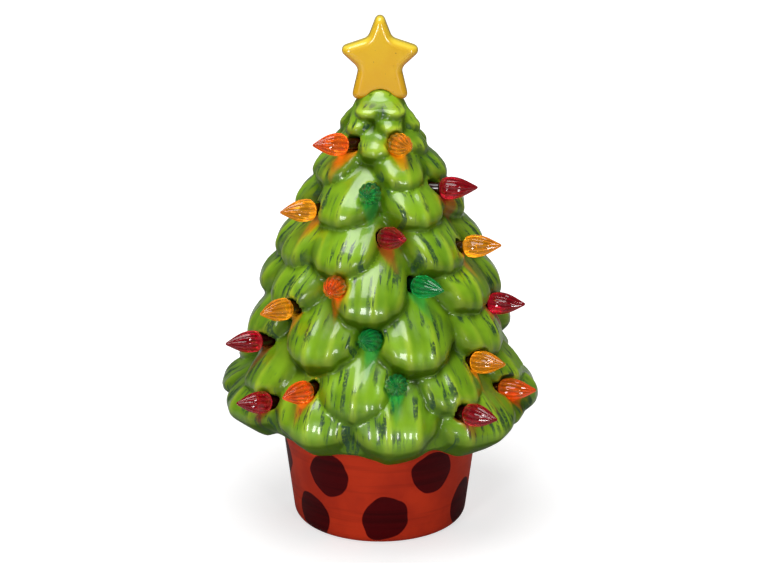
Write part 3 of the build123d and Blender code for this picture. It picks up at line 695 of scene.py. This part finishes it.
def red_glaze(colours):
    """Satin orange-red glaze with hand-painted maroon dots and thin brush marks round the pot."""
    # A dull skin keeps the red deep, with hardly a highlight
    material, tree, surface = new_material("Red ceramic glaze, satin", Roughness=0.5, Specular_IOR_Level=0.08)
    place = add_node(tree, "TexCoord", output="Object")
    # Hand-painted edges wander by up to two millimetres
    wobble = {"Vector": place, "Scale": features(11.111), "Detail": 1.0}
    wobble = add_node(tree, "TexNoise", wobble, output="Color")
    wobble = add_node(tree, "VectorMath", wobble, (0.5, 0.5, 0.5), operation="SUBTRACT")
    bent = add_node(tree, "VectorMath", wobble, (4 * MM, 4 * MM, 4 * MM), place, operation="MULTIPLY_ADD")
    x, y, z = [add_node(tree, "SeparateXYZ", bent, output=axis) for axis in "XYZ"]
    bearing = add_node(tree, "Math", y, -1.0, operation="MULTIPLY")
    bearing = add_node(tree, "Math", x, bearing, operation="ARCTAN2")
    dot = 1.0
    for middle, height, radius in DOTS:
        turn = add_node(tree, "Math", bearing, math.radians(middle), operation="SUBTRACT")
        turn = add_node(tree, "Math", turn, math.pi / 2, -math.pi / 2, operation="WRAP")
        across = add_node(tree, "Math", turn, POT_RADIUS * MM, operation="MULTIPLY")
        rise = add_node(tree, "Math", z, height * MM, operation="SUBTRACT")
        offset = add_node(tree, "CombineXYZ", across, rise)
        away = add_node(tree, "VectorMath", offset, output="Value", operation="LENGTH")
        away = add_node(tree, "Math", away, radius * MM, operation="SUBTRACT")
        dot = add_node(tree, "Math", dot, away, operation="MINIMUM")
    # Only the outer face is painted
    normal = add_node(tree, "TexCoord", output="Normal")
    outer = add_node(tree, "VectorMath", place, (1.0, 1.0, 0.0), operation="MULTIPLY")
    outer = add_node(tree, "VectorMath", normal, outer, output="Value", operation="DOT_PRODUCT")
    outer = add_node(tree, "MapRange", outer, 0.01, 0.03, **EASE)
    inside = add_node(tree, "MapRange", dot, 0.25 * MM, -0.25 * MM, **EASE)
    inside = add_node(tree, "Math", inside, outer, operation="MULTIPLY")
    # Brush marks round the pot, two millimetres high
    marks = add_node(tree, "VectorMath", place, (18.0, 18.0, 420.0), operation="MULTIPLY")
    marks = add_node(tree, "TexNoise", {"Vector": marks, "Scale": 1.0, "Detail": 3.0})
    faint = add_node(tree, "MapRange", marks, 0.5, 0.7, 0.0, 0.3, **EASE)
    strong = add_node(tree, "MapRange", marks, 0.4, 0.7, **EASE)
    cloud = add_node(tree, "TexNoise", {"Vector": place, "Scale": features(16.667), "Detail": 3.0})
    cloud = add_node(tree, "MapRange", cloud, 0.35, 0.7, **EASE)
    paint = painted(tree, colours.dots, (strong, linear("#3c0003")))
    body = (cloud, linear("#b62f19")), (faint, linear("#8a2012"))
    colour = painted(tree, colours.pot, *body, (inside, paint))
    tree.links.new(colour, surface.inputs["Base Color"])
    return material


def bulb_plastic(name, colour):
    """Clear tinted plastic with a painted glow: bright ridges, painted shade in the grooves, and painted
    shade over the peg inside its hole.
    """
    # A smooth moulding that light passes through, with a painted glow as if lit a little from inside
    finish = f"{name.capitalize()} bulb plastic, clear"
    material, tree, surface = new_material(finish, Roughness=0.03, IOR=1.49)
    place = add_node(tree, "TexCoord", output="Object")
    groove = add_node(tree, "Attribute", output="Fac", attribute_name="groove")
    reach = add_node(tree, "Attribute", output="Fac", attribute_name="reach")
    # Streaks of the moulding, two millimetres long
    streak = add_node(tree, "TexNoise", {"Vector": place, "Scale": features(2.381), "Detail": 2.0})
    streak = add_node(tree, "MapRange", streak, 0.4, 0.65, 0.0, 0.5, **EASE)
    # Painted shade in the grooves
    groove_shade = add_node(tree, "Math", groove, 0.85, operation="MULTIPLY")
    pale = (*[c + 0.06 * (1 - c) for c in colour[:3]], 1.0)
    shade = painted(tree, colour, (streak, pale), (groove_shade, tinted(colour, 0.2)))
    # Painted shade over the peg, which no light reaches inside its hole
    outside = add_node(tree, "MapRange", reach, 0.02, 0.1, **EASE)
    shade = painted(tree, tinted(colour, 0.03), (outside, shade))
    for socket, value in (
        ("Base Color", shade),
        ("Emission Color", shade),
        ("Emission Strength", add_node(tree, "Math", outside, 0.22, operation="MULTIPLY")),
        ("Transmission Weight", add_node(tree, "Math", outside, 0.92, operation="MULTIPLY")),
    ):
        tree.links.new(value, surface.inputs[socket])
    return material


def flame_bulb(sizes):
    """Models one upright flame bulb with twisted flutes, the mouth of its hole at the origin."""
    rings = [(height * MM, radius * MM) for height, radius in PEG]
    rings += [(sizes.peg + share * sizes.length, radius * MM) for share, radius in FLAME]
    # A closed disc's rim is drawn up ring by ring and gathered at the tip
    bpy.ops.object.select_all(action="DESELECT")
    bpy.ops.mesh.primitive_circle_add(
        vertices=5 * sizes.flutes, radius=rings[0][1], fill_type="TRIFAN", calc_uvs=False
    )
    bulb = bpy.context.object
    bpy.ops.object.mode_set(mode="EDIT")
    bpy.ops.mesh.select_mode(type="EDGE")
    bpy.ops.mesh.select_all(action="DESELECT")
    bpy.ops.mesh.select_non_manifold()
    for (low, narrow), (high, wide) in zip(rings, rings[1:]):
        bpy.ops.mesh.extrude_region_move(TRANSFORM_OT_translate={"value": (0, 0, high - low)})
        bpy.ops.transform.resize(value=(wide / narrow, wide / narrow, 1), center_override=(0, 0, high))
    tip = sizes.peg + sizes.length
    bpy.ops.mesh.extrude_region_move(TRANSFORM_OT_translate={"value": (0, 0, tip - rings[-1][0])})
    bpy.ops.mesh.merge(type="CENTER")
    bpy.ops.mesh.select_all(action="SELECT")
    bpy.ops.mesh.normals_make_consistent(inside=False)
    bpy.ops.object.mode_set(mode="OBJECT")
    bpy.ops.object.shade_smooth()
    # Twisted grooves between the ridges fade in above the hole and out at the tip
    x, y, z = vertex_array(bulb.data).T
    reach = (z - sizes.peg) / sizes.length
    angle = np.arctan2(y, x)
    begun = np.clip((reach - 0.07) * 9, 0, 1)
    groove = begun * (1 - np.abs(np.cos(sizes.flutes * angle / 2)))
    radius = np.hypot(x, y) - sizes.flute_depth * groove * np.clip((1 - reach) * 4, 0, 1)
    angle += sizes.twist * reach.clip(0)
    places = np.stack([radius * np.cos(angle), radius * np.sin(angle), z - sizes.peg], 1)
    bulb.data.vertices.foreach_set("co", places.ravel())
    set_attribute(bulb.data, "reach", "FLOAT", reach)
    set_attribute(bulb.data, "groove", "FLOAT", groove)
    return bulb


class TREE_OT_casting(bpy.types.Operator):
    """Softens the CAD casting as a glaze does, folds its boughs and stores where its decoration, painted
    shade and the bulbs' painted light go
    """

    bl_idname = "tree.casting"
    bl_label = "Build the glazed casting"

    def execute(self, context):
        sizes = context.scene.tree_sizes
        colours = context.scene.finish_colours
        piece = node_copy("tree", "tree_casting")
        apply_modifier(piece, "REMESH", mode="VOXEL", voxel_size=sizes.grain, use_smooth_shade=True)
        mesh = piece.data
        places = vertex_array(mesh)
        spots = bough_places(places / MM)
        across, along, _, half_width, number, _, _ = spots
        height = places[:, 2] / MM - POT_HEIGHT
        radius = np.hypot(places[:, 0], places[:, 1]) / MM
        inner = radius < core_radius(height) - 0.55 * CAVITY_WALL
        inner &= height < CORE_NECK_HEIGHT - 10
        inner |= (height < 1.0) & (radius < CORE_FOOT_RADIUS - 10)
        free, light = bulb_marks(places, colours)
        loose = free * ~inner
        places = drape(places, vertex_array(mesh, "normal"), spots, loose, sizes)
        shape_hem(places, height, radius, free, loose, sizes)
        shoulder = np.clip((height - SHOULDER_LOW) / 5, 0, 1) * np.clip((SHOULDER_HIGH - height) / 4, 0, 1)
        places[:, 0] *= 1 + sizes.shoulder * shoulder
        mesh.vertices.foreach_set("co", places.ravel())
        # The glaze softens every crease, and most of all along the hem
        soften(piece, "soft", free, sizes.glaze_rounds)
        hem = free * np.clip(1.4 - height / 10, 0, 1) * (radius > 48)
        soften(piece, "hem", hem, 3 * sizes.glaze_rounds)
        mesh = piece.data
        places = vertex_array(mesh)
        normals = vertex_array(mesh, "normal")
        # Small hollows hold the glaze's pooling with painted shade, large ones painted shade alone
        near = neighbour_means(mesh, places, 14)
        wide = neighbour_means(mesh, near, 70)
        pooled, valley = [np.einsum("ij,ij->i", mean - places, normals) / MM for mean in (near, wide)]
        set_attribute(mesh, "bough", "FLOAT_VECTOR", np.stack([across, along, number], 1))
        set_attribute(mesh, "along", "FLOAT", along / half_width)
        set_attribute(mesh, "rim", "FLOAT", np.hypot(across, np.minimum(along, 0)) / half_width)
        set_attribute(mesh, "pooled", "FLOAT", pooled)
        set_attribute(mesh, "valley", "FLOAT", valley)
        set_attribute(mesh, "light", "FLOAT_COLOR", light)
        thin_cavity(piece, inner)
        bpy.ops.object.shade_smooth()
        finish_piece(piece, "tree_top", green_glaze(colours), "green_glaze", "tree")
        return {"FINISHED"}


class TREE_OT_star(bpy.types.Operator):
    """Builds the star as a softly rounded glazed casting"""

    bl_idname = "tree.star"
    bl_label = "Build the star"

    def execute(self, context):
        piece = node_copy("star", "star_casting")
        apply_modifier(piece, "REMESH", mode="VOXEL", voxel_size=STAR_GRAIN * MM, use_smooth_shade=True)
        apply_modifier(piece, "SMOOTH", factor=0.5, iterations=STAR_ROUNDS)
        finish_piece(piece, "tree_top", yellow_glaze(context.scene.finish_colours), "yellow_glaze", "star")
        return {"FINISHED"}


class TREE_OT_pot(bpy.types.Operator):
    """Gives the pot its satin glaze and painted dots"""

    bl_idname = "tree.pot"
    bl_label = "Build the pot"

    def execute(self, context):
        piece = node_copy("pot", "pot_casting")
        select_only(piece)
        bpy.ops.object.shade_smooth_by_angle(angle=math.radians(30))
        finish_piece(piece, "pot_base", red_glaze(context.scene.finish_colours), "red_glaze", "pot")
        return {"FINISHED"}


class TREE_OT_bulbs(bpy.types.Operator):
    """Builds a fluted flame bulb for each hole"""

    bl_idname = "tree.bulbs"
    bl_label = "Build the flame bulbs"

    def execute(self, context):
        colours = context.scene.finish_colours
        bulb = flame_bulb(context.scene.bulb_sizes)
        plastics = {}
        for node, body, mouth, axis, colour in bulb_seats():
            if colour not in plastics:
                plastics[colour] = bulb_plastic(colour, getattr(colours, f"{colour}_bulb")[:])
            piece = bulb.copy()
            piece.data = bulb.data.copy()
            piece.name = f"flame_{node}"
            piece.data.name = piece.name
            context.scene.collection.objects.link(piece)
            turn = Vector(axis).to_track_quat("Z", "Y").to_matrix().to_4x4()
            piece.data.transform(Matrix.Translation(mouth) @ turn)
            finish_piece(piece, body, plastics[colour], f"{colour}_bulb", node)
        bpy.data.meshes.remove(bulb.data)
        return {"FINISHED"}


class TREE_OT_lamp(bpy.types.Operator):
    """Gives each piece of the lamp unit its finish"""

    bl_idname = "tree.lamp"
    bl_label = "Finish the lamp unit"

    def execute(self, context):
        for slot, name, first, second, roughness, metallic, nodes in LAMP_FINISHES:
            material, tree, surface = new_material(name, Roughness=roughness, Metallic=metallic)
            place = add_node(tree, "TexCoord", output="Object")
            grain = add_node(tree, "TexNoise", {"Vector": place, "Scale": features(1.4286), "Detail": 3.0})
            grain = add_node(tree, "MapRange", grain, 0.35, 0.65, **EASE)
            colour = painted(tree, linear(first), (grain, linear(second)))
            tree.links.new(colour, surface.inputs["Base Color"])
            for node in nodes:
                piece = frame["nodes"][node]
                piece.data.materials.clear()
                piece.data.materials.append(material)
        return {"FINISHED"}


class TREE_OT_stage(bpy.types.Operator):
    """Sets the floor, the soft studio light and the camera"""

    bl_idname = "tree.stage"
    bl_label = "Set the stage"

    def execute(self, context):
        sizes = context.scene.stage_sizes
        scene = context.scene
        bpy.ops.mesh.primitive_plane_add(size=FLOOR_WIDTH)
        floor = context.object
        floor.name = "floor"
        material, tree, surface = new_material("Pale studio floor, matt", Roughness=0.9)
        place = add_node(tree, "TexCoord", output="Object")
        cloud = add_node(tree, "TexNoise", {"Vector": place, "Scale": features(333.33), "Detail": 2.0})
        cloud = add_node(tree, "MapRange", cloud, 0.3, 0.7, **EASE)
        colour = painted(tree, linear("#c8c8c8"), (cloud, linear("#c2c2c2")))
        tree.links.new(colour, surface.inputs["Base Color"])
        # Seen by the camera, the floor turns into the white backdrop away from the object
        away = add_node(tree, "VectorMath", place, output="Value", operation="LENGTH")
        glow = add_node(tree, "MapRange", away, 0.08, 0.3, 0.65, 1.0, **EASE)
        seen = add_node(tree, "LightPath", output="Is Camera Ray")
        glow = add_node(tree, "Math", glow, seen, operation="MULTIPLY")
        tree.links.new(glow, surface.inputs["Emission Strength"])
        surface.inputs["Emission Color"].default_value = linear("#ffffff")
        floor.data.materials.append(material)
        world = bpy.data.worlds.new("Studio")
        scene.world = world
        world.use_nodes = True
        tree = world.node_tree
        tree.nodes.remove(tree.nodes["Background"])
        seen = add_node(tree, "LightPath", output="Is Camera Ray")
        through = add_node(tree, "LightPath", output="Is Transmission Ray")
        seen = add_node(tree, "Math", seen, through, operation="MAXIMUM")
        soft = add_node(tree, "Background", {"Color": linear("#ffffff"), "Strength": 0.1})
        white = add_node(tree, "Background", {"Color": linear("#ffffff"), "Strength": 1.0})
        mixed = add_node(tree, "MixShader", seen, soft, white)
        tree.links.new(mixed, tree.nodes["World Output"].inputs["Surface"])
        for name, place, (width, height), power in LIGHTS:
            data = bpy.data.lights.new(name, "AREA")
            data.shape = "RECTANGLE"
            data.size, data.size_y, data.energy = width, height, power
            lamp = bpy.data.objects.new(name, data)
            scene.collection.objects.link(lamp)
            lamp.location = place
            lamp.visible_glossy = name != "back"
            aim = Vector((0, 0, LIGHT_AIM)) - lamp.location
            lamp.rotation_euler = aim.to_track_quat("-Z", "Y").to_euler()
        data = bpy.data.cameras.new("camera")
        data.lens, data.sensor_width = CAMERA_LENS, CAMERA_SENSOR
        camera = bpy.data.objects.new("camera", data)
        scene.collection.objects.link(camera)
        aim = Vector((0, 0, sizes.camera_height))
        rise = sizes.camera_rise
        camera.location = aim + sizes.camera_distance * Vector((0, -math.cos(rise), math.sin(rise)))
        camera.rotation_euler = (aim - camera.location).to_track_quat("-Z", "Y").to_euler()
        scene.camera = camera
        scene.view_settings.view_transform = "Standard"
        return {"FINISHED"}


class TREE_PT_panel(bpy.types.Panel):
    """Builds the tree's looks and shows their sizes"""

    bl_idname = "TREE_PT_panel"
    bl_label = "Ceramic tree"
    bl_space_type = "VIEW_3D"
    bl_region_type = "UI"
    bl_category = "Tree"

    def draw(self, context):
        for group, kind in GROUPS.items():
            box = self.layout.box()
            for name in kind.__annotations__:
                box.prop(getattr(context.scene, group), name)
        for step in STEPS:
            self.layout.operator(step.bl_idname)


STEPS = (TREE_OT_casting, TREE_OT_star, TREE_OT_pot, TREE_OT_bulbs, TREE_OT_lamp, TREE_OT_stage)
GROUPS = {
    "tree_sizes": TreeSizes,
    "bulb_sizes": BulbSizes,
    "finish_colours": FinishColours,
    "stage_sizes": StageSizes,
}
CLASSES = (*GROUPS.values(), *STEPS, TREE_PT_panel)


def register():
    """Adds the operators, the panel and the sizes."""
    for kind in CLASSES:
        bpy.utils.register_class(kind)
    for name, kind in GROUPS.items():
        setattr(bpy.types.Scene, name, bpy.props.PointerProperty(type=kind))


def unregister():
    """Takes them out again."""
    for name in GROUPS:
        delattr(bpy.types.Scene, name)
    for kind in reversed(CLASSES):
        bpy.utils.unregister_class(kind)


def main():
    """Builds every piece and the stage."""
    register()
    bpy.ops.tree.casting()
    bpy.ops.tree.star()
    bpy.ops.tree.pot()
    bpy.ops.tree.bulbs()
    bpy.ops.tree.lamp()
    bpy.ops.tree.stage()


if __name__ == "__main__":
    main()
